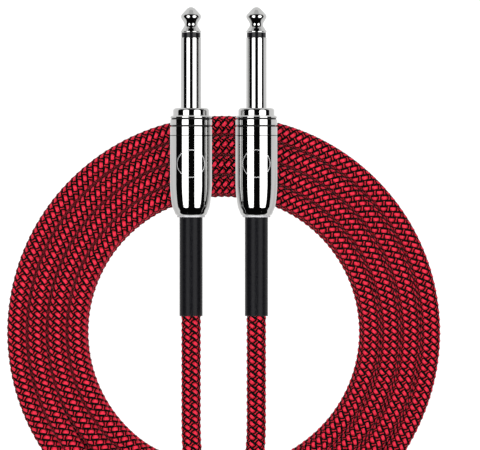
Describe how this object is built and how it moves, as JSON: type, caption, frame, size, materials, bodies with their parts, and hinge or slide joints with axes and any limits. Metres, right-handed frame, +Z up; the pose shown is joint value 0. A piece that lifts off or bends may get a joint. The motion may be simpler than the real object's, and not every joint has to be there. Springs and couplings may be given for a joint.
{
  "type": "coiled instrument cable",
  "caption": "Coiled instrument cable with a red and black woven jacket and a straight quarter-inch mono plug with a chromed screw-on barrel at each end.",
  "frame": {"origin": "centre of the coil on the surface that the cable lies on", "axes": "+Z up, +Y the way both plugs point, +X to the right of a viewer above who has the plugs pointing up"},
  "size_m": [0.1358, 0.1695, 0.0256],
  "materials": {
    "woven_jacket": "braided red and black textile yarn",
    "plated_contact": "polished",
    "plated_body": "polished",
    "black_ring": "gloss",
    "black_sleeve": "satin shrink tube",
    "natural_plastic": "matte",
    "fibre_washer": "matte fibre",
    "brass_lug": "plain stamped",
    "copper_wire": "drawn copper",
    "solder": "bright solder",
    "grey_bushing": "gloss"
  },
  "bodies": {
    "cable": {"cord_coil": "woven_jacket", "cord_tail_a": "woven_jacket", "cord_tail_b": "woven_jacket", "tip_contact_a": "plated_contact", "tip_insulator_a": "black_ring", "inner_tube_a": "natural_plastic", "sleeve_contact_a": "plated_contact", "front_ring_a": "plated_body", "ground_lug_a": "brass_lug", "rear_washer_a": "fibre_washer", "tip_lug_a": "brass_lug", "cable_end_a": "woven_jacket", "core_insulation_a": "natural_plastic", "centre_wire_a": "copper_wire", "shield_tail_a": "copper_wire", "tip_solder_a": "solder", "ground_solder_a": "solder", "strain_sleeve_a": "black_sleeve", "tip_contact_b": "plated_contact", "tip_insulator_b": "black_ring", "inner_tube_b": "natural_plastic", "sleeve_contact_b": "plated_contact", "front_ring_b": "plated_body", "ground_lug_b": "brass_lug", "rear_washer_b": "fibre_washer", "tip_lug_b": "brass_lug", "cable_end_b": "woven_jacket", "core_insulation_b": "natural_plastic", "centre_wire_b": "copper_wire", "shield_tail_b": "copper_wire", "tip_solder_b": "solder", "ground_solder_b": "solder", "strain_sleeve_b": "black_sleeve"},
    "pull_a": {"liner_a": "natural_plastic"},
    "guide_a": {"rear_bushing_a": "grey_bushing"},
    "cover_a": {"barrel_a": "plated_body"},
    "pull_b": {"liner_b": "natural_plastic"},
    "guide_b": {"rear_bushing_b": "grey_bushing"},
    "cover_b": {"barrel_b": "plated_body"}
  },
  "joints": [
    {"name": "barrel_pull_back_a", "type": "slide", "parent": "cable", "child": "pull_a", "axis": [0, -1, 0], "range_m": [0, 0.025]},
    {"name": "thread_travel_a", "type": "slide", "parent": "pull_a", "child": "guide_a", "axis": [0, -1, 0], "range_m": [0, 0.0045]},
    {"name": "barrel_turn_a", "type": "hinge", "parent": "guide_a", "child": "cover_a", "pos_m": [-0.0102, 0.05, 0.0191], "axis": [0, -1, 0], "range_deg": [0, 2160]},
    {"name": "barrel_pull_back_b", "type": "slide", "parent": "cable", "child": "pull_b", "axis": [0, -1, 0], "range_m": [0, 0.025]},
    {"name": "thread_travel_b", "type": "slide", "parent": "pull_b", "child": "guide_b", "axis": [0, -1, 0], "range_m": [0, 0.0045]},
    {"name": "barrel_turn_b", "type": "hinge", "parent": "guide_b", "child": "cover_b", "pos_m": [0.0102, 0.05, 0.0191], "axis": [0, -1, 0], "range_deg": [0, 2160]}
  ],
  "couplings": [
    {"joint": "thread_travel_a", "follows": "barrel_turn_a", "m_per_rad": 0.00011936},
    {"joint": "thread_travel_b", "follows": "barrel_turn_b", "m_per_rad": 0.00011936}
  ]
}
